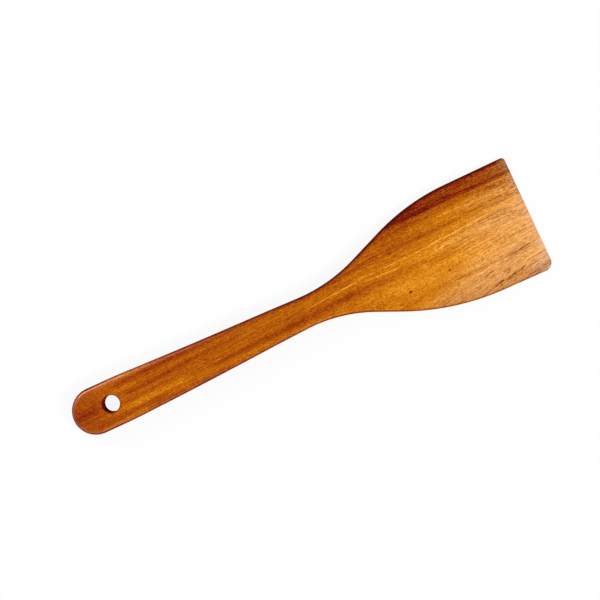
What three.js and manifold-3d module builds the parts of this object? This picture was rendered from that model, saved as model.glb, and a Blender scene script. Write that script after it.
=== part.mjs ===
// Wooden turner, in millimetres: one flat board cut to outline, scooped from a thick handle down to a
// thin blade, rounded along every edge and drilled with a hang hole.
// +X runs from the butt of the handle to the front edge of the blade, +Y to the left and +Z up.
// The origin lies under the middle of the turner, which rests on z = 0 with its flat underside.

import * as THREE from "three";
import { mergeVertices } from "three/addons/utils/BufferGeometryUtils.js";
import Module from "manifold-3d";

// Lengths along the board. The outline is drawn with sharp corners first, and these reach to those corners.
// The front edge isn't quite square: its left corner lies back a little.
const HANDLE_LENGTH = 171.3;
const FLARE_LENGTH = 63.5;
const BLADE_LENGTH = 65.2;
const GRIP_LENGTH = 33;
const FRONT_LEAN = 0.5;

// Widths across the board at the sharp corners. The neck's arcs leave it 19.1 wide at its narrowest, and the
// blade still widens a little from its shoulders to the front edge.
const BUTT_WIDTH = 28.6;
const NECK_WIDTH = 17.5;
const SHOULDER_WIDTH = 71.5;
const BLADE_WIDTH = 73.2;

// Radii that round those corners off. The butt is a full half circle. The left side is the crisper one.
const GRIP_RADIUS = 300;
const NECK_RADIUS = 95;
const LEFT_SHOULDER_RADIUS = 128;
const RIGHT_SHOULDER_RADIUS = 160;
const LEFT_CORNER_RADIUS = 2.2;
const RIGHT_CORNER_RADIUS = 5.5;

// Thickness: level along the handle, scooped through the neck, then a straight taper to the front edge.
const HANDLE_THICKNESS = 9;
const BLADE_THICKNESS = 4.8;
const FRONT_THICKNESS = 2.4;
const SCOOP_BEFORE_NECK = 28;
const SCOOP_LENGTH = 82;

// Rounding of the board's edges, and of the two rims of the hole.
const HANDLE_EDGE_ROUND = 3;
const FRONT_EDGE_ROUND = 0.9;
const RIM_ROUND = 0.6;

// Hang hole, straight through the handle.
const HOLE_DIAMETER = 10.4;
const HOLE_FROM_BUTT = 24.8;

// Facets: steps along each arc and straight run of the outline, across the faces and round the edges.
const BUTT_STEPS = 10;
const GRIP_STEPS = 3;
const NECK_STEPS = 8;
const SHOULDER_STEPS = 9;
const CORNER_STEPS = 5;
const RUN_STEPS = 4;
const STEPS_ACROSS = 8;
const ROUND_STEPS = 4;
const HOLE_SIDES = 40;

const SHOULDER_FROM_BUTT = HANDLE_LENGTH + FLARE_LENGTH;
const LENGTH = SHOULDER_FROM_BUTT + BLADE_LENGTH;
const WELD = 1e-4;

// Angles of a quarter circle, step by step.
const quarterTurn = Array.from({ length: ROUND_STEPS + 1 }, (_, i) => (i / ROUND_STEPS) * (Math.PI / 2));

// Outline

// Replaces the corners of a run of straight lines by tangent arcs, and returns lines and arcs in order, each
// with the heading it starts at and how far it turns. Arcs too long for the line between them share it.
function roundCorners(start, corners, end) {
  const stops = [start, ...corners.map((corner) => corner.at), end];
  const headings = stops.slice(1).map((stop, i) => stop.clone().sub(stops[i]).normalize());
  const turns = corners.map((_, i) => {
    const before = headings[i];
    const after = headings[i + 1];
    return Math.atan2(before.cross(after), before.dot(after));
  });
  const wanted = corners.map((corner, i) => corner.radius * Math.tan(Math.abs(turns[i]) / 2));
  const fits = stops.slice(1).map((stop, i) => {
    const needed = (wanted[i - 1] ?? 0) + (wanted[i] ?? 0);
    return Math.min(1, stop.distanceTo(stops[i]) / needed);
  });

  const pieces = [];
  let from = start;
  corners.forEach((corner, i) => {
    const reach = wanted[i] * Math.min(fits[i], fits[i + 1]);
    const radius = reach / Math.tan(Math.abs(turns[i]) / 2);
    const enter = corner.at.clone().addScaledVector(headings[i], -reach);
    const leave = corner.at.clone().addScaledVector(headings[i + 1], reach);
    const toCentre = new THREE.Vector2(-headings[i].y, headings[i].x).multiplyScalar(Math.sign(turns[i]));
    const centre = enter.clone().addScaledVector(toCentre, radius);
    const startAngle = enter.clone().sub(centre).angle();
    const endAngle = leave.clone().sub(centre).angle();
    const clockwise = turns[i] < 0;
    const line = new THREE.LineCurve(from, enter);
    const arc = new THREE.EllipseCurve(centre.x, centre.y, radius, radius, startAngle, endAngle, clockwise);
    const heading = headings[i].angle();
    pieces.push({ curve: line, heading, turn: 0, steps: corner.runSteps });
    pieces.push({ curve: arc, heading, turn: turns[i], steps: corner.steps });
    from = leave;
  });
  return pieces;
}

// One side of the outline, as points with their outward direction: from the middle of the butt, along the
// handle, out over the shoulder and round the front corner. It is drawn on the left.
function outlineSide(shoulderRadius, cornerRadius, cornerLean) {
  const corner = (x, width, radius, steps, runSteps) => ({
    at: new THREE.Vector2(x, width / 2),
    radius,
    steps,
    runSteps,
  });
  const pieces = roundCorners(
    new THREE.Vector2(0, 0),
    [
      corner(0, BUTT_WIDTH, BUTT_WIDTH / 2, BUTT_STEPS, 0),
      corner(GRIP_LENGTH, BUTT_WIDTH, GRIP_RADIUS, GRIP_STEPS, 1),
      corner(HANDLE_LENGTH, NECK_WIDTH, NECK_RADIUS, NECK_STEPS, 2 * RUN_STEPS),
      corner(SHOULDER_FROM_BUTT, SHOULDER_WIDTH, shoulderRadius, SHOULDER_STEPS, RUN_STEPS),
      corner(LENGTH - cornerLean, BLADE_WIDTH, cornerRadius, CORNER_STEPS, RUN_STEPS),
    ],
    new THREE.Vector2(LENGTH - FRONT_LEAN / 2, 0),
  );
  const side = [];
  for (const { curve, heading, turn, steps } of pieces) {
    const first = side.length ? 1 : 0;
    for (let i = first; i <= steps && steps > 0; i++) {
      const now = heading + (turn * i) / steps;
      const outward = new THREE.Vector2(-Math.sin(now), Math.cos(now));
      side.push({ point: curve.getPoint(i / steps), outward });
    }
  }
  return side;
}

// The same side on the other hand.
function mirrored(side) {
  const flip = (vector) => new THREE.Vector2(vector.x, -vector.y);
  return side.map(({ point, outward }) => ({ point: flip(point), outward: flip(outward) }));
}

// Thickness

const SCOOP_START = HANDLE_LENGTH - SCOOP_BEFORE_NECK;
const SCOOP_END = SCOOP_START + SCOOP_LENGTH;
const BLADE_SLOPE = (BLADE_THICKNESS - FRONT_THICKNESS) / (LENGTH - SCOOP_END);

// Side view of the scoop. Its handles are evenly spaced along X, so its parameter runs evenly along X too.
const scoop = new THREE.CubicBezierCurve(
  new THREE.Vector2(SCOOP_START, HANDLE_THICKNESS),
  new THREE.Vector2(SCOOP_START + SCOOP_LENGTH / 3, HANDLE_THICKNESS),
  new THREE.Vector2(SCOOP_END - SCOOP_LENGTH / 3, BLADE_THICKNESS + (BLADE_SLOPE * SCOOP_LENGTH) / 3),
  new THREE.Vector2(SCOOP_END, BLADE_THICKNESS),
);

// Height of the upper face at a distance from the butt.
function topHeight(x) {
  if (x <= SCOOP_START) return HANDLE_THICKNESS;
  if (x >= SCOOP_END) return FRONT_THICKNESS + BLADE_SLOPE * (LENGTH - x);
  return scoop.getPoint((x - SCOOP_START) / SCOOP_LENGTH).y;
}

// Radius of the edge where the board is this thick: it shrinks with the board and never passes half of it.
function edgeRound(thickness) {
  const share = (thickness - FRONT_THICKNESS) / (HANDLE_THICKNESS - FRONT_THICKNESS);
  return Math.min(THREE.MathUtils.lerp(FRONT_EDGE_ROUND, HANDLE_EDGE_ROUND, share), thickness / 2);
}

// Board

// The section of the edge as steps from the underside, round and up, to the upper face. Each step tells, in
// edge radii, how far it lies inside the outline and how deep below the face it belongs to.
const edgeSection = [
  ...quarterTurn.map((angle) => ({ upper: false, inset: 1 - Math.sin(angle), depth: 1 - Math.cos(angle) })),
  ...quarterTurn.map((angle) => ({ upper: true, inset: 1 - Math.cos(angle), depth: 1 - Math.sin(angle) })),
];

// A point of that section at one place of the outline.
function edgePoint({ point, outward }, { upper, inset, depth }) {
  const radius = edgeRound(topHeight(point.x));
  const x = point.x - outward.x * inset * radius;
  const y = point.y - outward.y * inset * radius;
  return new THREE.Vector3(x, y, upper ? topHeight(x) - depth * radius : depth * radius);
}

// Places along the straight front edge, between the last places of the two sides.
function frontPlaces(left, right) {
  return Array.from({ length: STEPS_ACROSS - 1 }, (_, k) => ({
    point: left.point.clone().lerp(right.point, (k + 1) / STEPS_ACROSS),
    outward: left.outward,
  }));
}

// Rows of points over one face, each from the left side of the board to the right.
function faceRows(left, right, step, height) {
  return left.map((place, j) => {
    const from = edgePoint(place, step);
    const to = edgePoint(right[j], step);
    return Array.from({ length: STEPS_ACROSS + 1 }, (_, k) => {
      const point = from.clone().lerp(to, k / STEPS_ACROSS);
      return point.setZ(height(point.x));
    });
  });
}

// Triangles between neighbouring rows of points. Rows that run to the right and follow each other forward
// face up. A triangle with two corners in one place is left out.
function sheet(rows, flipped = false) {
  const triangles = [];
  const add = (...corners) => {
    const meets = corners.some((corner, i) => corner.distanceTo(corners[(i + 1) % 3]) < WELD);
    if (!meets) triangles.push(flipped ? corners.reverse() : corners);
  };
  for (let j = 0; j + 1 < rows.length; j++) {
    for (let k = 0; k + 1 < rows[j].length; k++) {
      add(rows[j][k], rows[j][k + 1], rows[j + 1][k + 1]);
      add(rows[j][k], rows[j + 1][k + 1], rows[j + 1][k]);
    }
  }
  return triangles.flat();
}

function boardGeometry() {
  const left = outlineSide(LEFT_SHOULDER_RADIUS, LEFT_CORNER_RADIUS, FRONT_LEAN);
  const right = mirrored(outlineSide(RIGHT_SHOULDER_RADIUS, RIGHT_CORNER_RADIUS, 0));
  const around = [...left, ...frontPlaces(left.at(-1), right.at(-1)), ...right.toReversed()];
  const upperFace = sheet(faceRows(left, right, edgeSection.at(-1), topHeight));
  const underside = sheet(faceRows(left, right, edgeSection[0], () => 0), true);
  const edge = sheet(edgeSection.map((step) => around.map((place) => edgePoint(place, step))), true);
  return new THREE.BufferGeometry().setFromPoints([...upperFace, ...underside, ...edge]);
}

// Hang hole

// What the drill and the rounding of both rims take away, turned about the hole's axis.
function holeGeometry() {
  const mouth = HOLE_DIAMETER / 2 + RIM_ROUND;
  const beyond = HANDLE_THICKNESS;
  const upperRim = quarterTurn.map((angle) => {
    const inset = RIM_ROUND * Math.cos(angle);
    const depth = RIM_ROUND * (1 - Math.sin(angle));
    return new THREE.Vector2(mouth - inset, HANDLE_THICKNESS - depth);
  });
  const lowerRim = upperRim.map(({ x, y }) => new THREE.Vector2(x, HANDLE_THICKNESS - y)).reverse();
  const profile = [
    new THREE.Vector2(0, -beyond),
    new THREE.Vector2(mouth, -beyond),
    ...lowerRim,
    ...upperRim,
    new THREE.Vector2(mouth, HANDLE_THICKNESS + beyond),
    new THREE.Vector2(0, HANDLE_THICKNESS + beyond),
  ];
  return new THREE.LatheGeometry(profile, HOLE_SIDES).rotateX(Math.PI / 2).translate(HOLE_FROM_BUTT, 0, 0);
}

// Solids

const wasm = await Module();
wasm.setup();

function solidFrom(geometry) {
  const bare = new THREE.BufferGeometry();
  bare.setAttribute("position", geometry.getAttribute("position"));
  bare.setIndex(geometry.getIndex());
  const welded = mergeVertices(bare, WELD);
  return new wasm.Manifold(
    new wasm.Mesh({
      numProp: 3,
      vertProperties: welded.getAttribute("position").array,
      triVerts: new Uint32Array(welded.getIndex().array),
    }),
  );
}

function geometryFrom(solid) {
  const { vertProperties, triVerts } = solid.getMesh();
  const geometry = new THREE.BufferGeometry();
  geometry.setAttribute("position", new THREE.BufferAttribute(vertProperties, 3));
  geometry.setIndex(new THREE.BufferAttribute(triVerts, 1));
  geometry.computeVertexNormals();
  return geometry;
}

// Oiled golden-brown hardwood with a satin face.
const wood = new THREE.MeshStandardMaterial({ color: 0xc07a26, roughness: 0.45, metalness: 0 });

const board = solidFrom(boardGeometry());
const hole = solidFrom(holeGeometry());
const drilled = geometryFrom(board.subtract(hole));
drilled.computeBoundingBox();
const middle = drilled.boundingBox.getCenter(new THREE.Vector3());

const turner = new THREE.Mesh(drilled, wood);
turner.name = "turner";
turner.position.set(-middle.x, -middle.y, 0);

const part = new THREE.Group();
part.add(turner);

export default part;
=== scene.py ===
"""Wooden turner on a white studio floor, seen from straight above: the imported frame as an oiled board.

Sizes and places on the board are in millimetres: x from the butt of the handle to the front edge of the
blade, y to the left of the centre line and z above the underside.
"""

import math
from typing import NamedTuple

import bmesh
import bpy
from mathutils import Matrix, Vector, noise


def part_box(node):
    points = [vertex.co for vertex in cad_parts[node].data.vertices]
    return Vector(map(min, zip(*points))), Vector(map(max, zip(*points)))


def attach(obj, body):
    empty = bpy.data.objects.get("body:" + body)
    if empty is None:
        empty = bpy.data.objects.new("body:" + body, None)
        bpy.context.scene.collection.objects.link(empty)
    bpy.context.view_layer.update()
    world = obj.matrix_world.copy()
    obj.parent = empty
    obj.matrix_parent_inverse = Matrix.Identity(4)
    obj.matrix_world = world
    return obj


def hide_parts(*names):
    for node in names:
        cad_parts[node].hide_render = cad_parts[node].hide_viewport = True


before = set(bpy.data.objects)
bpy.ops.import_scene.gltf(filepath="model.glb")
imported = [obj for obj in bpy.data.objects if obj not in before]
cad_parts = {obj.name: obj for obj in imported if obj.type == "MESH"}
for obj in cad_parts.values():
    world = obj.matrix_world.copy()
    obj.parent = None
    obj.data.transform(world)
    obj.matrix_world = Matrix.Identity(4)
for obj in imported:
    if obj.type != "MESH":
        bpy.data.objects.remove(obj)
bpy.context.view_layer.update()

MM = 0.001
low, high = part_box("turner")
BUTT_PLACE = Vector((low[0], 0, low[2]))

# Outline: the sharp corners that it is drawn with, and the radii that round them off
GRIP_LENGTH = 33
HANDLE_LENGTH = 171.3
FLARE_LENGTH = 63.5
BLADE_LENGTH = 65.2
LENGTH = HANDLE_LENGTH + FLARE_LENGTH + BLADE_LENGTH
FRONT_LEAN = 0.5
BUTT_WIDTH = 28.6
NECK_WIDTH = 17.5
SHOULDER_WIDTH = 71.5
BLADE_WIDTH = 73.2
GRIP_RADIUS = 300
NECK_RADIUS = 95
LEFT_SHOULDER_RADIUS = 128
RIGHT_SHOULDER_RADIUS = 160
LEFT_CORNER_RADIUS = 2.2
RIGHT_CORNER_RADIUS = 5.5

# Thickness and rounding
HANDLE_THICKNESS = (high[2] - low[2]) / MM
BLADE_THICKNESS = 4.8
FRONT_THICKNESS = 2.4
SCOOP_BEFORE_NECK = 28
SCOOP_LENGTH = 82
SCOOP_START = HANDLE_LENGTH - SCOOP_BEFORE_NECK
SCOOP_END = SCOOP_START + SCOOP_LENGTH
HANDLE_EDGE_ROUND = 3
FRONT_EDGE_ROUND = 0.9

# Hang hole
HOLE_RADIUS = 5.2
HOLE_FROM_BUTT = 24.8
RIM_ROUND = 0.6
MOUTH_RADIUS = HOLE_RADIUS + RIM_ROUND
HOLE_PATCH_END = 40

# Traces of hand work: faces sanded slightly uneven, and a neck that drifts off the centre line
SANDING_DEPTH = 0.1
SANDING_LENGTH = 26
NECK_DRIFT = 1.3
DRIFT_MIDDLE = 155
DRIFT_LENGTH = 58

# Fineness of the mesh
STEPS_ACROSS = 28
ROUND_STEPS = 8
PATCH_STEPS = 8
RIM_STEPS = 4
BORE_STEPS = 6
WELD = 0.001

# Camera, right above the board, which lies tilted in its view by an angle in degrees
CAMERA_HEIGHT = 546
VIEW_WIDTH = 362.1
VIEW_CENTRE_X = 152.5
VIEW_CENTRE_Y = 9.3
BOARD_TILT = 24.65
SENSOR_WIDTH = 36


def in_frame(x, y, z):
    """A place on the board as a point of the frame, in metres."""
    return BUTT_PLACE + Vector((x, y, z)) * MM


# Outline

class Corner(NamedTuple):
    """A corner of the outline, with the steps on the straight run before it and round its arc."""

    x: float
    width: float
    radius: float
    run_steps: int
    arc_steps: int


def turned(vector, angle):
    """A flat vector turned to the left."""
    cos, sin = math.cos(angle), math.sin(angle)
    return Vector((vector.x * cos - vector.y * sin, vector.x * sin + vector.y * cos))


def round_corners(start, corners, end):
    """Places along straight lines whose corners are rounded off, as (point, outward direction)."""
    stops = [Vector(start)] + [Vector((corner.x, corner.width / 2)) for corner in corners] + [Vector(end)]
    headings = [(b - a).normalized() for a, b in zip(stops, stops[1:])]
    places = []
    leave = stops[0]
    for i, corner in enumerate(corners):
        before, after = headings[i], headings[i + 1]
        outward = turned(before, math.pi / 2)
        turn = before.angle_signed(after)
        reach = corner.radius * math.tan(abs(turn) / 2)
        enter = stops[i + 1] - before * reach
        to_centre = outward * math.copysign(corner.radius, -turn)
        for k in range(corner.run_steps):
            places.append((leave.lerp(enter, k / corner.run_steps), outward))
        for k in range(corner.arc_steps):
            angle = -turn * k / corner.arc_steps
            places.append((enter + to_centre - turned(to_centre, angle), turned(outward, angle)))
        leave = stops[i + 1] + after * reach
    places.append((leave, turned(headings[-1], math.pi / 2)))
    return places


def outline_side(shoulder_radius, corner_radius, corner_lean):
    """The left side, from the middle of the butt to the end of the front corner."""
    corners = [
        Corner(0, BUTT_WIDTH, BUTT_WIDTH / 2, run_steps=0, arc_steps=24),
        Corner(GRIP_LENGTH, BUTT_WIDTH, GRIP_RADIUS, run_steps=6, arc_steps=5),
        Corner(HANDLE_LENGTH, NECK_WIDTH, NECK_RADIUS, run_steps=44, arc_steps=20),
        Corner(HANDLE_LENGTH + FLARE_LENGTH, SHOULDER_WIDTH, shoulder_radius, run_steps=6, arc_steps=28),
        Corner(LENGTH - corner_lean, BLADE_WIDTH, corner_radius, run_steps=12, arc_steps=8),
    ]
    return round_corners((0, 0), corners, (LENGTH - FRONT_LEAN / 2, 0))


def mirrored(side):
    return [(Vector((p.x, -p.y)), Vector((out.x, -out.y))) for p, out in side]


# Thickness

def top_height(x):
    """Height of the upper face: level, then a scoop that runs smoothly into the taper of the blade."""
    slope = (FRONT_THICKNESS - BLADE_THICKNESS) / (LENGTH - SCOOP_END)
    if x <= SCOOP_START:
        return HANDLE_THICKNESS
    if x >= SCOOP_END:
        return BLADE_THICKNESS + slope * (x - SCOOP_END)
    t = (x - SCOOP_START) / SCOOP_LENGTH
    s = 1 - t
    lower_handle = BLADE_THICKNESS - slope * SCOOP_LENGTH / 3
    level = HANDLE_THICKNESS * (s**3 + 3 * s * s * t)
    return level + lower_handle * 3 * s * t * t + BLADE_THICKNESS * t**3


def edge_round(thickness):
    share = (thickness - FRONT_THICKNESS) / (HANDLE_THICKNESS - FRONT_THICKNESS)
    return FRONT_EDGE_ROUND + share * (HANDLE_EDGE_ROUND - FRONT_EDGE_ROUND)


# Board mesh. Each point comes with its inset, which is how far it lies inside the nearest upright side.

def quarter(steps):
    """Angles round an edge: 0 is on the face and a quarter turn on the upright side."""
    return [math.pi / 2 * i / steps for i in range(steps + 1)]


def edge_point(place, angle, upper):
    """A point of the rounded edge at one place of the outline."""
    point, outward = place
    radius = edge_round(top_height(point.x))
    inset = radius * (1 - math.sin(angle))
    depth = radius * (1 - math.cos(angle))
    flat = point - outward * inset
    z = top_height(flat.x) - depth if upper else depth
    return Vector((flat.x, flat.y, z)), inset


def edge_rows(around):
    """Rows round the whole edge, from the underside up to the upper face."""
    lower = [(angle, False) for angle in quarter(ROUND_STEPS)]
    upper = [(angle, True) for angle in reversed(quarter(ROUND_STEPS))]
    return [[edge_point(place, angle, side) for place in around] for angle, side in lower + upper]


def across(left, right, upper):
    """Points over a face, from the left place to the right one."""
    start, start_inset = edge_point(left, 0, upper)
    end, _ = edge_point(right, 0, upper)
    width = (end - start).length
    row = []
    for k in range(STEPS_ACROSS + 1):
        point = start.lerp(end, k / STEPS_ACROSS)
        point.z = top_height(point.x) if upper else 0
        from_side = start_inset + width * min(k, STEPS_ACROSS - k) / STEPS_ACROSS
        row.append((point, min(from_side, LENGTH - point.x)))
    return row


def on_circle(towards, radius, z):
    """The point round the hole's axis that lies towards another point."""
    angle = math.atan2(towards.y, towards.x - HOLE_FROM_BUTT)
    return Vector((HOLE_FROM_BUTT + radius * math.cos(angle), radius * math.sin(angle), z))


def hole_patch(left, right, upper):
    """Rows of a face round the hang hole, from its border inwards to the rim."""
    border = [edge_point(place, 0, upper) for place in reversed(left)]
    border += [edge_point(place, 0, upper) for place in right[1:]]
    border += across(right[-1], left[-1], upper)[1:]
    rows = []
    for i in range(PATCH_STEPS + 1):
        share = i / PATCH_STEPS
        row = []
        for outer, inset in border:
            inner = on_circle(outer, MOUTH_RADIUS, outer.z)
            span = (outer - inner).length
            to_side = min(inset + share * span, RIM_ROUND + (1 - share) * span)
            row.append((outer.lerp(inner, share), to_side))
        rows.append(row)
    return rows


def bore_rows(border):
    """Rows down the hole: over the upper rim, along the wall and out over the lower rim."""
    rim = []
    for angle in quarter(RIM_STEPS):
        inset = RIM_ROUND * (1 - math.sin(angle))
        rim.append((inset, RIM_ROUND * (1 - math.cos(angle))))
    wall_top = HANDLE_THICKNESS - RIM_ROUND
    wall_length = wall_top - RIM_ROUND
    levels = [(inset, HANDLE_THICKNESS - depth) for inset, depth in rim]
    levels += [(0, wall_top - wall_length * i / BORE_STEPS) for i in range(1, BORE_STEPS)]
    levels += reversed(rim)
    rows = []
    for inset, z in levels:
        rows.append([(on_circle(point, HOLE_RADIUS + inset, z), inset) for point, _ in border])
    return rows


def add_rows(mesh, inset_layer, rows):
    """Joins neighbouring rows of points by quads."""
    grid = []
    for row in rows:
        verts = []
        for point, inset in row:
            vert = mesh.verts.new(point)
            vert[inset_layer] = inset
            verts.append(vert)
        grid.append(verts)
    for one, other in zip(grid, grid[1:]):
        for k in range(len(one) - 1):
            mesh.faces.new((one[k], one[k + 1], other[k + 1], other[k]))


def by_hand(point):
    """A point of the board with the traces of hand work."""
    drift = NECK_DRIFT * math.exp(-(((point.x - DRIFT_MIDDLE) / DRIFT_LENGTH) ** 2))
    share = point.z / top_height(point.x)
    unevenness = noise.noise(Vector((point.x, point.y, 0)) / SANDING_LENGTH) * SANDING_DEPTH * share
    return Vector((point.x, point.y + drift, point.z + unevenness))


def board_mesh():
    left = outline_side(LEFT_SHOULDER_RADIUS, LEFT_CORNER_RADIUS, FRONT_LEAN)
    right = mirrored(outline_side(RIGHT_SHOULDER_RADIUS, RIGHT_CORNER_RADIUS, 0))
    patch_end = next(j for j, (point, _) in enumerate(left) if point.x > HOLE_PATCH_END)
    (left_end, forward), (right_end, _) = left[-1], right[-1]
    front = [(left_end.lerp(right_end, k / STEPS_ACROSS), forward) for k in range(1, STEPS_ACROSS)]

    mesh = bmesh.new()
    inset_layer = mesh.verts.layers.float.new("inset")
    add_rows(mesh, inset_layer, edge_rows(left + front + right[::-1]))
    for upper in (True, False):
        pairs = zip(left[patch_end:], right[patch_end:])
        add_rows(mesh, inset_layer, [across(one, other, upper) for one, other in pairs])
        patch = hole_patch(left[: patch_end + 1], right[: patch_end + 1], upper)
        add_rows(mesh, inset_layer, patch)
    add_rows(mesh, inset_layer, bore_rows(patch[-1]))

    bmesh.ops.remove_doubles(mesh, verts=mesh.verts, dist=WELD)
    bmesh.ops.recalc_face_normals(mesh, faces=mesh.faces)
    for vert in mesh.verts:
        vert.co = in_frame(*by_hand(vert.co))
    for face in mesh.faces:
        face.smooth = True
    data = bpy.data.meshes.new("turner_board")
    mesh.to_mesh(data)
    mesh.free()
    return data


# Wood

# Tones of the wood from the darkest streak to the palest, as (tone, red, green, blue) in sRGB
PALETTE = [
    (0.0, 80, 10, 2),
    (0.2, 112, 18, 0),
    (0.3, 128, 34, 1),
    (0.4, 145, 54, 1),
    (0.5, 162, 73, 1),
    (0.6, 178, 91, 1),
    (0.7, 195, 110, 3),
    (0.8, 212, 128, 12),
    (0.9, 229, 147, 30),
    (1.0, 246, 167, 58),
    (1.1, 255, 182, 92),
    (1.2, 255, 194, 118),
]
PALEST_TONE = PALETTE[-1][0]

# Painted sheen on the front of the blade, which pales the wood: its tones, and the x where it begins and
# where it is full. Both are moved back by a share of its reach, or forward where the share is negative,
# which is given as (y, share).
SHEEN_PALETTE = [
    (0.0, 80, 12, 3),
    (0.3, 128, 58, 14),
    (0.6, 178, 109, 47),
    (0.9, 229, 159, 86),
    (1.05, 251, 181, 104),
    (1.2, 255, 195, 118),
]
SHEEN_START = 230
SHEEN_END = 298
SHEEN_REACH = 50
SHEEN_ACROSS = [
    (-40, 0.95), (-32, 0.85), (-26, 0.62), (-19, 0.22), (-14, 0.08), (-10, -0.16), (-4, -0.24), (2, 0),
    (8, -0.25), (15, -0.48), (19.5, -0.36), (23, -0.6), (26, -0.75), (40, -0.75),
]

# Painted sheen along the front edge, which is stronger on the right and reaches further back at the right
# corner
EDGE_SHEEN_PALETTE = [
    (0.0, 70, 40, 24),
    (0.3, 128, 86, 58),
    (0.6, 178, 129, 93),
    (0.9, 229, 168, 121),
    (1.2, 255, 198, 150),
]
EDGE_SHEEN_START = 293
EDGE_SHEEN_CORNER_START = 280
EDGE_SHEEN_END = 299.5
EDGE_SHEEN_LEFT_SHARE = 0.5
EDGE_SHEEN_RIGHT_SHARE = 1.0
EDGE_SHEEN_RIGHT = -24
EDGE_SHEEN_CORNER = -32

# Tone along the board, as (x, tone), and how it changes across the blade, as (y, change of tone)
TONE_ALONG = [
    (0, 0.47), (14, 0.51), (36, 0.59), (60, 0.56), (110, 0.6), (150, 0.6), (190, 0.64), (212, 0.69),
    (232, 0.74), (256, 0.81), (284, 0.86), (300, 0.93),
]
TONE_ACROSS = [
    (-40, -0.12), (-34, -0.06), (-31, -0.03), (-28, 0.02), (-22, 0.03), (-7, 0.05), (2, 0.04), (8, -0.01),
    (10, 0), (14, -0.12), (18, -0.12), (20, -0.08), (22, -0.21), (24, -0.23), (26.6, -0.32), (27.5, -0.49),
    (28.3, -0.49), (29.2, -0.43), (31, -0.45), (33, -0.38), (40, -0.4),
]
BLADE_FIGURE_START = 184
BLADE_FIGURE_FULL = 222


class Layer(NamedTuple):
    """Noise in the wood: length and width of its spots in millimetres, octaves, and weight in the tone."""

    length: float
    width: float
    octaves: float
    weight: float


# Figure of the wood from the broadest bands to the finest specks
GROWTH_BANDS = Layer(260, 7, 2, 0.26)
STRIPES = Layer(80, 2.4, 1, 0.15)
FIGURE = Layer(2.6, 9, 2, 0.12)
HAIRLINES = Layer(40, 0.8, 1, 0.58)
FIBRES = Layer(6, 0.6, 1, 0.45)
SPECKS = Layer(1.5, 0.5, 1, 1.28)
OCTAVE_SHARE = 0.6

# Contrast of the hairlines along the board, and of the fibres and specks, as (x, share of the weight)
LINE_CONTRAST_ALONG = [(0, 0.49), (150, 0.49), (200, 0.44), (236, 0.46), (262, 0.9), (300, 1)]
SPECK_CONTRAST_ALONG = [(0, 0.55), (190, 0.58), (225, 0.62), (245, 0.66), (270, 0.74), (300, 0.78)]

# Open pores, more of them where the painted sheen lies on the blade
PORES = Layer(6, 0.7, 1, -0.38)
PORE_LEVEL = 0.7
SHEEN_PORE_LEVEL = 0.6
PORE_EDGE = 0.06

# Direction of the grain: it rises along the board, and fans out over the blade
GRAIN_RISE = 0.04
FAN_START = 195
FAN_RISE = 0.023
FAN_SPREAD = -0.004
FAN_CURVE = 0.00006
WANDER = Layer(60, 30, 2, 3)

# Streaks have ragged sides, but thin ones are smooth, and thin dark ones are broken along their length
RAGGED = Layer(30, 2.4, 2, 0.9)
THIN_STREAK = 2
BREAKS = Layer(2.4, 1.2, 1, 1)
BREAK_LEVEL = 0.36
BREAK_EDGE = 0.16


class EdgeLine(NamedTuple):
    """The dark line along an edge, partly darker wood and partly painted shade: its width, over which it
    fades out, and its change of tone.
    """

    width: float
    change: float


# Dark lines along the edges, partly darker wood and partly painted shade where the rounded edges turn away
# from the light: round the butt, along the sides, where the left one is thinner beside the grip, and along
# the front, with the x where one gives way to the next
BUTT_LINE = EdgeLine(1.2, -0.56)
GRIP_LINE = EdgeLine(0.9, -0.3)
LEFT_LINE = EdgeLine(1.6, -0.36)
RIGHT_LINE = EdgeLine(1.4, -0.38)
FRONT_LINE = EdgeLine(0.8, -0.14)
BUTT_LINE_END = 16
SIDE_LINE_START = 34
GRIP_LINE_END = 50
LEFT_LINE_START = 85
SIDE_LINE_FADE = 295
SIDE_LINE_END = 299
LINE_CORE = 0.2
SIDE_BLEND = 8

# The line round the hole, its wall, and the upright sides of the board, all darker. The wall of the hole is
# darkened by painted shade; the line and the sides are partly darker wood and partly painted shade
RIM_LINE_CHANGE = -0.14
RIM_LINE_REACH = 9
BORE_SHADE_TONE = -0.13
SIDE_TONE = -0.24
UPRIGHT = 0.4

# Dark margin along the left edge
MARGIN_START = 60
MARGIN_FULL = 215
MARGIN_FADE = 292
MARGIN_WIDTH = 3.6
MARGIN_TONE = -0.28

# Gloss of the oil: worn off at the edges, stronger on the rounded rim of the grip, and duller along the
# fibres and in the pores
ROUGHNESS = 0.26
SPECULAR = 0.24
RIM_SPECULAR = 0.5
POLISH_FADE = 60
POLISH_END = 110
WORN_INSET = 0.7
GLOSSY_INSET = 1.4
FIBRE_DULLING = 0.3
PORE_DULLING = 0.2
PORE_DEPTH = 0.5
RELIEF_DEPTH = 0.1
RELIEF_STRENGTH = 0.3


class Streak(NamedTuple):
    """A streak along the grain: its ends as (x, y), width, length of its fading ends, and change of tone."""

    start: tuple
    end: tuple
    width: float
    fade: float
    change: float


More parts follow.
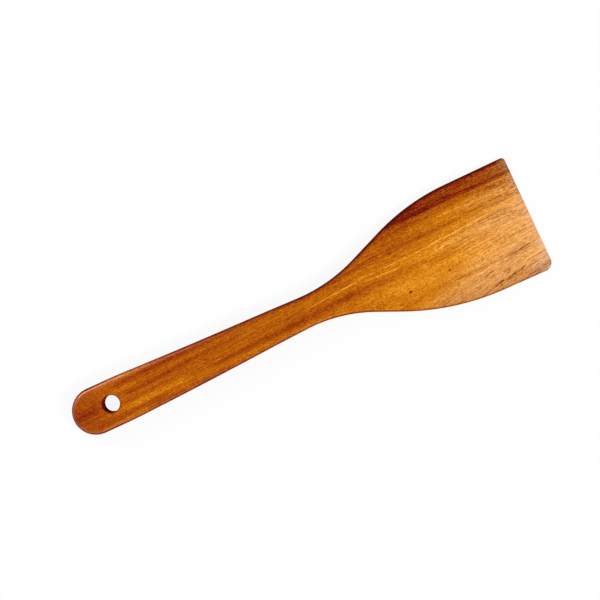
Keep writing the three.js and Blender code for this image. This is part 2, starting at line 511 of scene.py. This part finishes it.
STREAKS = [
    # Dark streaks of the handle and the neck
    Streak((-4, -0.2), (22, 1.1), 9, 8, -0.12),
    Streak((6, -10.7), (64, -7.9), 4.4, 14, -0.13),
    Streak((40, -11), (106, -8.6), 4.4, 14, -0.1),
    Streak((26, 8.8), (112, 10.8), 5.4, 12, -0.14),
    Streak((100, 10.5), (164, 9.1), 3.4, 14, -0.07),
    Streak((170, 9.6), (208, 15), 3.6, 10, -0.12),
    Streak((30, 2.1), (72, 3.1), 5, 10, -0.13),
    Streak((62, 3.5), (116, 4.5), 5, 12, -0.1),
    Streak((82, -4.9), (142, -2), 5.4, 16, -0.17),
    Streak((118, -4.8), (160, -4), 6, 12, -0.1),
    Streak((130, -2.8), (190, -0.8), 8, 12, -0.16),
    Streak((174, -0.8), (262, -1.8), 8, 16, -0.12),
    # Dark streaks of the blade
    Streak((186, 17.5), (226, 19.5), 7, 12, -0.07),
    Streak((222, 13.6), (262, 14.2), 2.6, 10, -0.1),
    Streak((256, 15.6), (298, 16.1), 2.4, 10, -0.1),
    Streak((268, 8.2), (302, 7.4), 3.6, 8, -0.09),
    Streak((221, 26.6), (250, 27.6), 3.4, 8, -0.13),
    Streak((250, 29.4), (263, 28.8), 3, 4, -0.12),
    Streak((266, 27.4), (284, 27.2), 2.2, 4, -0.09),
    Streak((240, -18.6), (298, -18.6), 3.4, 8, -0.13),
    Streak((222, -9.3), (258, -9.9), 3, 10, -0.05),
    Streak((282, -34.5), (308, -31.5), 7, 8, -0.2),
    # Thin dark lines of the blade
    Streak((280, -18.8), (293, -17), 1.4, 2, -0.6),
    Streak((258, -24.9), (266, -23), 1.4, 2, -0.5),
    Streak((261, -26.6), (266, -25.5), 1.2, 1.5, -0.5),
    Streak((271, -28.3), (276, -26), 1.6, 2, -0.5),
    Streak((278, -30), (285, -27.8), 1.4, 2, -0.6),
    Streak((261, -32.6), (270, -30.4), 1.6, 3, -0.45),
    Streak((269, -31.7), (280, -29.2), 1.4, 3, -0.45),
    Streak((284, -26.5), (300, -24.6), 1.4, 4, -0.35),
    Streak((285, -29.5), (300, -28.3), 1.2, 4, -0.3),
    Streak((256, 2.2), (266, 1), 1.2, 3, -0.35),
    Streak((275, 5.6), (294, 4.4), 1.2, 4, -0.35),
    Streak((239, 3.2), (243, 3.6), 1, 1, -0.4),
    Streak((243, 1.8), (248, 2.3), 1, 1, -0.4),
    # Pale streaks
    Streak((28, -5.9), (78, -4.5), 7, 12, 0.14),
    Streak((26, 5.6), (46, 5.6), 4, 6, 0.11),
    Streak((56, 7.7), (82, 6.9), 3.4, 8, 0.06),
    Streak((138, -6.9), (178, -7.9), 4.4, 10, 0.09),
    Streak((146, 1.8), (198, 6), 1.6, 16, 0.27),
    Streak((186, 5.8), (230, 6), 1.4, 8, 0.17),
    Streak((222, 5.8), (256, 7.9), 1.3, 8, 0.17),
    Streak((246, 7.3), (290, 10.4), 1.4, 14, 0.16),
    Streak((186, 3.4), (218, 2), 1.7, 10, 0.18),
    Streak((234, 2.2), (254, 3.4), 3, 7, 0.14),
    Streak((244, 20.2), (298, 18.8), 2, 8, 0.14),
    Streak((283, -25.2), (300, -23.4), 1.4, 5, 0.3),
    Streak((172, -6.5), (236, -12.5), 9, 16, 0.07),
    Streak((1, -3.9), (19, -3.2), 2, 5, 0.08),
    # Pin knots
    Streak((213.4, -14.2), (216, -13.8), 2.2, 0.9, -0.6),
    Streak((240.2, -12.2), (242.6, -11.8), 2, 0.9, -0.4),
]


def linear(channel):
    """A colour channel from sRGB, 0 to 255, to linear light."""
    share = channel / 255
    return share / 12.92 if share <= 0.04045 else ((share + 0.055) / 1.055) ** 2.4


def shade(red, green, blue):
    """A colour for a socket, from sRGB."""
    return (linear(red), linear(green), linear(blue), 1)


class Nodes:
    """Adds nodes to a tree and joins them. An input is a plain value or another node's output."""

    def __init__(self, tree):
        tree.nodes.clear()
        self.tree = tree

    def add(self, kind, inputs=(), **settings):
        node = self.tree.nodes.new("ShaderNode" + kind)
        for name, value in settings.items():
            setattr(node, name, value)
        for key, value in dict(inputs).items():
            self.join(value, node.inputs[key])
        return node

    def join(self, value, socket):
        if isinstance(value, bpy.types.NodeSocket):
            self.tree.links.new(value, socket)
        else:
            socket.default_value = value

    def math(self, operation, *values):
        return self.add("Math", enumerate(values), operation=operation).outputs[0]

    def vector(self, operation, *values):
        return self.add("VectorMath", enumerate(values), operation=operation).outputs[0]

    def measure(self, operation, *values):
        return self.add("VectorMath", enumerate(values), operation=operation).outputs["Value"]

    def combine(self, x, y, z):
        return self.add("CombineXYZ", enumerate((x, y, z))).outputs[0]

    def split(self, vector):
        return self.add("SeparateXYZ", {0: vector}).outputs

    def ease(self, value, start, end, to_start=0.0, to_end=1.0):
        """Eases from one result to another as a value goes from start to end."""
        inputs = {"Value": value, "From Min": start, "From Max": end, "To Min": to_start, "To Max": to_end}
        return self.add("MapRange", inputs, interpolation_type="SMOOTHSTEP").outputs[0]

    def profile(self, value, points):
        """A smooth curve through points, which are given as (value, result) in their order."""
        start, end = points[0][0], points[-1][0]
        share = self.add("MapRange", {"Value": value, "From Min": start, "From Max": end}).outputs[0]
        node = self.add("FloatCurve", {"Value": share})
        node.mapping.clip_min_y = min(result for _, result in points)
        curve = node.mapping.curves[0].points
        while len(curve) < len(points):
            curve.new(0, 0)
        for place, (at, result) in zip(curve, points):
            place.location = ((at - start) / (end - start), result)
            place.handle_type = "AUTO_CLAMPED"
        node.mapping.update()
        return node.outputs[0]

    def ramp(self, share, colours):
        """A colour between colours, which are given as (share, sRGB colour)."""
        node = self.add("ValToRGB", {0: share})
        elements = node.color_ramp.elements
        while len(elements) < len(colours):
            elements.new(1)
        for element, (position, colour) in zip(elements, colours):
            element.position = position
            element.color = shade(*colour)
        return node.outputs["Color"]

    def spots(self, place, layer):
        """Noise from 0 to 1 in a layer's spots."""
        scaled = self.vector("DIVIDE", place, (layer.length, layer.width, layer.width))
        inputs = {"Vector": scaled, "Scale": 1.0, "Detail": layer.octaves, "Roughness": OCTAVE_SHARE}
        return self.add("TexNoise", inputs).outputs[0]

    def noise(self, place, layer):
        """A layer's noise round 0, times the layer's weight."""
        return self.math("MULTIPLY_ADD", self.spots(place, layer), layer.weight, -layer.weight / 2)


class Spot(NamedTuple):
    """Outputs that tell where on the board a shader is."""

    x: bpy.types.NodeSocket
    y: bpy.types.NodeSocket
    ragged_y: bpy.types.NodeSocket
    grain: bpy.types.NodeSocket
    inset: bpy.types.NodeSocket
    facing: bpy.types.NodeSocket
    sheen_x: bpy.types.NodeSocket


def spot_on_board(nodes):
    """The spot. Its grain is the place with the grain drawn straight, its facing is 0 on upright sides, and
    its sheen_x is x moved on by the reach of the painted sheen."""
    coords = nodes.add("TexCoord").outputs
    place = nodes.vector("DIVIDE", nodes.vector("SUBTRACT", coords["Object"], BUTT_PLACE), (MM, MM, MM))
    x, y, z = nodes.split(place)
    over_blade = nodes.math("MAXIMUM", nodes.math("SUBTRACT", x, FAN_START), 0.0)
    spread = nodes.math("MULTIPLY_ADD", y, FAN_CURVE, FAN_SPREAD)
    fan = nodes.math("MULTIPLY", over_blade, nodes.math("MULTIPLY_ADD", spread, y, FAN_RISE))
    straight = nodes.math("SUBTRACT", nodes.math("MULTIPLY_ADD", x, -GRAIN_RISE, y), fan)
    grain = nodes.combine(x, nodes.math("ADD", straight, nodes.noise(place, WANDER)), z)
    ragged_y = nodes.math("ADD", y, nodes.noise(grain, RAGGED))
    # How far back the painted sheen reaches, across the blade
    sheen_share = nodes.profile(ragged_y, SHEEN_ACROSS)
    return Spot(
        x=x,
        y=y,
        ragged_y=ragged_y,
        grain=grain,
        inset=nodes.add("Attribute", attribute_name="inset").outputs["Fac"],
        facing=nodes.math("ABSOLUTE", nodes.split(coords["Normal"])["Z"]),
        sheen_x=nodes.math("MULTIPLY_ADD", sheen_share, SHEEN_REACH, x),
    )


def streak_group():
    """A node group that is 1 along a soft line on the board and 0 away from it."""
    group = bpy.data.node_groups.new("Streak", "ShaderNodeTree")
    for name in ("Place", "Start", "End"):
        group.interface.new_socket(name, in_out="INPUT", socket_type="NodeSocketVector")
    for name in ("Width", "Fade"):
        group.interface.new_socket(name, in_out="INPUT", socket_type="NodeSocketFloat")
    group.interface.new_socket("Amount", in_out="OUTPUT", socket_type="NodeSocketFloat")
    nodes = Nodes(group)
    given = group.nodes.new("NodeGroupInput").outputs
    result = group.nodes.new("NodeGroupOutput").inputs

    arm = nodes.vector("SUBTRACT", given["Place"], given["Start"])
    span = nodes.vector("SUBTRACT", given["End"], given["Start"])
    along = nodes.measure("DOT_PRODUCT", arm, nodes.vector("NORMALIZE", span))
    off_line = nodes.vector("SUBTRACT", arm, nodes.vector("PROJECT", arm, span))
    half_width = nodes.math("DIVIDE", given["Width"], 2.0)
    near = nodes.ease(nodes.measure("LENGTH", off_line), half_width, 0.0)
    past_start = nodes.ease(along, 0.0, given["Fade"])
    left_over = nodes.math("SUBTRACT", nodes.measure("LENGTH", span), along)
    before_end = nodes.ease(left_over, 0.0, given["Fade"])
    amount = nodes.math("MULTIPLY", nodes.math("MULTIPLY", past_start, before_end), near)
    nodes.join(amount, result["Amount"])
    return group


def board_tone(nodes, spot, fibres):
    """Tone of the sound wood: its trend along the board and across the blade, and its figure."""
    tone = nodes.profile(spot.x, TONE_ALONG)
    over_blade = nodes.ease(spot.x, BLADE_FIGURE_START, BLADE_FIGURE_FULL)
    tone = nodes.math("MULTIPLY_ADD", nodes.profile(spot.ragged_y, TONE_ACROSS), over_blade, tone)
    for layer in (GROWTH_BANDS, STRIPES, FIGURE):
        tone = nodes.math("ADD", tone, nodes.noise(spot.grain, layer))
    lines = nodes.noise(spot.grain, HAIRLINES)
    tone = nodes.math("MULTIPLY_ADD", lines, nodes.profile(spot.x, LINE_CONTRAST_ALONG), tone)
    specks = nodes.math("ADD", fibres, nodes.noise(spot.grain, SPECKS))
    return nodes.math("MULTIPLY_ADD", specks, nodes.profile(spot.x, SPECK_CONTRAST_ALONG), tone)


def add_streaks(nodes, spot, tone):
    group = streak_group()
    ragged_place = nodes.combine(spot.x, spot.ragged_y, 0.0)
    smooth_place = nodes.combine(spot.x, spot.y, 0.0)
    unbroken = nodes.ease(nodes.spots(spot.grain, BREAKS), BREAK_LEVEL, BREAK_LEVEL + BREAK_EDGE)
    for streak in STREAKS:
        thin = streak.width < THIN_STREAK
        inputs = {
            "Place": smooth_place if thin else ragged_place,
            "Start": (*streak.start, 0),
            "End": (*streak.end, 0),
            "Width": streak.width,
            "Fade": streak.fade,
        }
        amount = nodes.add("Group", inputs, node_tree=group).outputs["Amount"]
        if thin and streak.change < 0:
            amount = nodes.math("MULTIPLY", amount, unbroken)
        tone = nodes.math("MULTIPLY_ADD", amount, streak.change, tone)
    return tone


def pore_amount(nodes, spot):
    # More pores where the painted sheen lies
    level = nodes.ease(spot.sheen_x, SHEEN_START, SHEEN_END, PORE_LEVEL, SHEEN_PORE_LEVEL)
    depth = nodes.math("SUBTRACT", nodes.spots(spot.grain, PORES), level)
    return nodes.ease(depth, 0.0, PORE_EDGE)


def outline_line(nodes, spot):
    """The line along the outline, partly painted shade: its width and its change, blended between stretches.
    """
    blended = []
    for butt, grip, left, right, front in zip(BUTT_LINE, GRIP_LINE, LEFT_LINE, RIGHT_LINE, FRONT_LINE):
        on_left = nodes.ease(spot.x, GRIP_LINE_END, LEFT_LINE_START, grip, left)
        on_sides = nodes.ease(spot.y, -SIDE_BLEND, SIDE_BLEND, right, on_left)
        past_butt = nodes.ease(spot.x, BUTT_LINE_END, SIDE_LINE_START, butt, on_sides)
        blended.append(nodes.ease(spot.x, SIDE_LINE_FADE, SIDE_LINE_END, past_butt, front))
    return EdgeLine(*blended)


def add_edges(nodes, spot, tone):
    """Darkens the left margin, the line round the outline, the upright sides and the wall of the hole. The
    wall's darkening is painted shade, and that of the line and the sides is partly painted shade.
    """
    on_left = nodes.ease(spot.y, 0.0, SIDE_BLEND, 0.0, MARGIN_TONE)
    margin = nodes.math("MULTIPLY", on_left, nodes.ease(spot.x, MARGIN_START, MARGIN_FULL))
    margin = nodes.math("MULTIPLY", margin, nodes.ease(spot.x, LENGTH, MARGIN_FADE))
    tone = nodes.math("MULTIPLY_ADD", nodes.ease(spot.inset, MARGIN_WIDTH, 0.0), margin, tone)

    line = outline_line(nodes, spot)
    hole_place = (HOLE_FROM_BUTT, 0, 0)
    to_hole_axis = nodes.measure("DISTANCE", nodes.combine(spot.x, spot.y, 0.0), hole_place)
    # Line round the outline and the hole, and the upright sides: partly darker wood, partly painted shade
    line_change = nodes.ease(to_hole_axis, MOUTH_RADIUS, RIM_LINE_REACH, RIM_LINE_CHANGE, line.change)
    change = nodes.ease(spot.facing, 0.0, UPRIGHT, SIDE_TONE, line_change)
    tone = nodes.math("MULTIPLY_ADD", nodes.ease(spot.inset, line.width, LINE_CORE), change, tone)
    # Painted shade on the wall of the hole
    return nodes.math("ADD", tone, nodes.ease(to_hole_axis, MOUTH_RADIUS, HOLE_RADIUS, 0.0, BORE_SHADE_TONE))


def wood_colour(nodes, spot, tone):
    """Colour of a tone, paled by painted sheen over the front of the blade and along its front edge."""
    share = nodes.math("DIVIDE", tone, PALEST_TONE)
    sound, sheen_colour, edge_sheen_colour = (
        nodes.ramp(share, [(position / PALEST_TONE, colour) for position, *colour in palette])
        for palette in (PALETTE, SHEEN_PALETTE, EDGE_SHEEN_PALETTE)
    )
    # Painted sheen, which pales the front of the blade
    sheen = nodes.ease(spot.sheen_x, SHEEN_START, SHEEN_END)
    sheened = nodes.add("MixRGB", {"Fac": sheen, "Color1": sound, "Color2": sheen_colour}).outputs["Color"]
    # Painted sheen along the front edge, stronger at the right corner
    edge_sheen_start = nodes.ease(spot.y, EDGE_SHEEN_RIGHT, EDGE_SHEEN_CORNER, EDGE_SHEEN_START, EDGE_SHEEN_CORNER_START)
    edge_sheen_share = nodes.ease(spot.y, 0.0, EDGE_SHEEN_RIGHT, EDGE_SHEEN_LEFT_SHARE, EDGE_SHEEN_RIGHT_SHARE)
    edge_sheen = nodes.math("MULTIPLY", nodes.ease(spot.x, edge_sheen_start, EDGE_SHEEN_END), edge_sheen_share)
    return nodes.add("MixRGB", {"Fac": edge_sheen, "Color1": sheened, "Color2": edge_sheen_colour}).outputs["Color"]


def wood_material():
    material = bpy.data.materials.new("oiled_wood")
    material.use_nodes = True
    nodes = Nodes(material.node_tree)
    spot = spot_on_board(nodes)
    fibres = nodes.noise(spot.grain, FIBRES)
    pores = pore_amount(nodes, spot)
    tone = add_streaks(nodes, spot, board_tone(nodes, spot, fibres))
    tone = nodes.math("MULTIPLY_ADD", pores, PORES.weight, tone)
    tone = add_edges(nodes, spot, tone)

    dulled = nodes.math("MULTIPLY_ADD", fibres, FIBRE_DULLING, ROUGHNESS)
    relief = nodes.math("MULTIPLY_ADD", pores, -PORE_DEPTH, fibres)
    bump = nodes.add("Bump", {"Height": relief, "Strength": RELIEF_STRENGTH, "Distance": RELIEF_DEPTH * MM})
    rim_specular = nodes.ease(spot.x, POLISH_FADE, POLISH_END, RIM_SPECULAR, SPECULAR)
    specular = nodes.ease(spot.inset, HANDLE_EDGE_ROUND, GLOSSY_INSET, SPECULAR, rim_specular)
    surface = nodes.add("BsdfPrincipled", {
        "Base Color": wood_colour(nodes, spot, tone),
        "Roughness": nodes.math("MULTIPLY_ADD", pores, PORE_DULLING, dulled),
        "Specular IOR Level": nodes.ease(spot.inset, WORN_INSET, GLOSSY_INSET, 0.0, specular),
        "Normal": bump.outputs[0],
    })
    nodes.join(surface.outputs[0], nodes.add("OutputMaterial").inputs["Surface"])
    return material


def add_board():
    board = bpy.data.objects.new("turner_board", board_mesh())
    board.data.materials.append(wood_material())
    bpy.context.scene.collection.objects.link(board)
    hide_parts("turner")
    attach(board, "root")


# Stage

# Floor: its sizes in metres, how much light it throws back, and how far it is lit by itself
FLOOR_HALF_WIDTH = 6.0
FLOOR_BELOW = 0.0002
FLOOR_ALBEDO = 0.93
FLOOR_GLOW = 0.9
WHITE = (1, 1, 1, 1)

# Light of the room, which dims from the horizon up to the ceiling, with heights as the z of a direction
HORIZON_LIGHT = 1.0
HORIZON_HEIGHT = 0.05
CEILING_LIGHT = 0.12
CEILING_HEIGHT = 0.95


class Softbox(NamedTuple):
    """A soft light: its place, what it faces and its size in metres, and its power in watts."""

    name: str
    place: tuple
    aim: tuple
    width: float
    height: float
    power: float


SOFTBOXES = [
    Softbox("key", (1.1, -1.1, 1.2), (0, 0, 0), 0.8, 0.6, 29.5),
    Softbox("fill", (-0.8, 0.8, 0.9), (0, 0, 0), 1.2, 1.2, 5),
    Softbox("butt_accent", (-0.285, 0.295, 0.165), (-0.135, 0.01, 0.005), 0.22, 0.12, 0.7),
]


def floor_material():
    """White, and mostly lit by itself where it is looked at, so that the shadow on it stays faint."""
    material = bpy.data.materials.new("white_floor")
    material.use_nodes = True
    nodes = Nodes(material.node_tree)
    path = nodes.add("LightPath").outputs
    seen = nodes.math("MAXIMUM", path["Is Camera Ray"], path["Is Glossy Ray"])
    seen = nodes.math("MAXIMUM", seen, path["Is Transmission Ray"])
    share = nodes.math("MULTIPLY", seen, FLOOR_GLOW)
    matt = nodes.add("BsdfDiffuse", {"Color": (FLOOR_ALBEDO, FLOOR_ALBEDO, FLOOR_ALBEDO, 1)}).outputs[0]
    glow = nodes.add("Emission", {"Color": WHITE, "Strength": 1.0}).outputs[0]
    mixed = nodes.add("MixShader", {0: share, 1: matt, 2: glow}).outputs[0]
    nodes.join(mixed, nodes.add("OutputMaterial").inputs["Surface"])
    return material


def add_floor():
    directions = [(-1, -1), (1, -1), (1, 1), (-1, 1)]
    corners = [(x * FLOOR_HALF_WIDTH, y * FLOOR_HALF_WIDTH, -FLOOR_BELOW) for x, y in directions]
    data = bpy.data.meshes.new("floor")
    data.from_pydata(corners, [], [range(len(corners))])
    data.materials.append(floor_material())
    floor = bpy.data.objects.new("floor", data)
    bpy.context.scene.collection.objects.link(floor)


def add_world():
    """A pale room: bright walls under a dimmer ceiling."""
    world = bpy.data.worlds.new("studio")
    bpy.context.scene.world = world
    world.use_nodes = True
    nodes = Nodes(world.node_tree)
    height = nodes.split(nodes.add("TexCoord").outputs["Generated"])["Z"]
    strength = nodes.ease(height, HORIZON_HEIGHT, CEILING_HEIGHT, HORIZON_LIGHT, CEILING_LIGHT)
    background = nodes.add("Background", {"Color": WHITE, "Strength": strength})
    nodes.join(background.outputs[0], nodes.add("OutputWorld").inputs["Surface"])


def add_softbox(box):
    light = bpy.data.lights.new(box.name, "AREA")
    light.shape = "RECTANGLE"
    light.size = box.width
    light.size_y = box.height
    light.energy = box.power
    lamp = bpy.data.objects.new(box.name, light)
    lamp.location = box.place
    lamp.rotation_euler = (Vector(box.aim) - Vector(box.place)).to_track_quat("-Z", "Y").to_euler()
    lamp.visible_camera = False
    bpy.context.scene.collection.objects.link(lamp)


def add_camera():
    camera = bpy.data.cameras.new("camera")
    camera.sensor_width = SENSOR_WIDTH
    camera.lens = SENSOR_WIDTH * CAMERA_HEIGHT / VIEW_WIDTH
    holder = bpy.data.objects.new("camera", camera)
    holder.location = in_frame(VIEW_CENTRE_X, VIEW_CENTRE_Y, CAMERA_HEIGHT)
    holder.rotation_euler = (0, 0, math.radians(-BOARD_TILT))
    bpy.context.scene.collection.objects.link(holder)
    bpy.context.scene.camera = holder


add_board()
add_floor()
add_world()
for softbox in SOFTBOXES:
    add_softbox(softbox)
add_camera()
bpy.context.scene.view_settings.view_transform = "Standard"
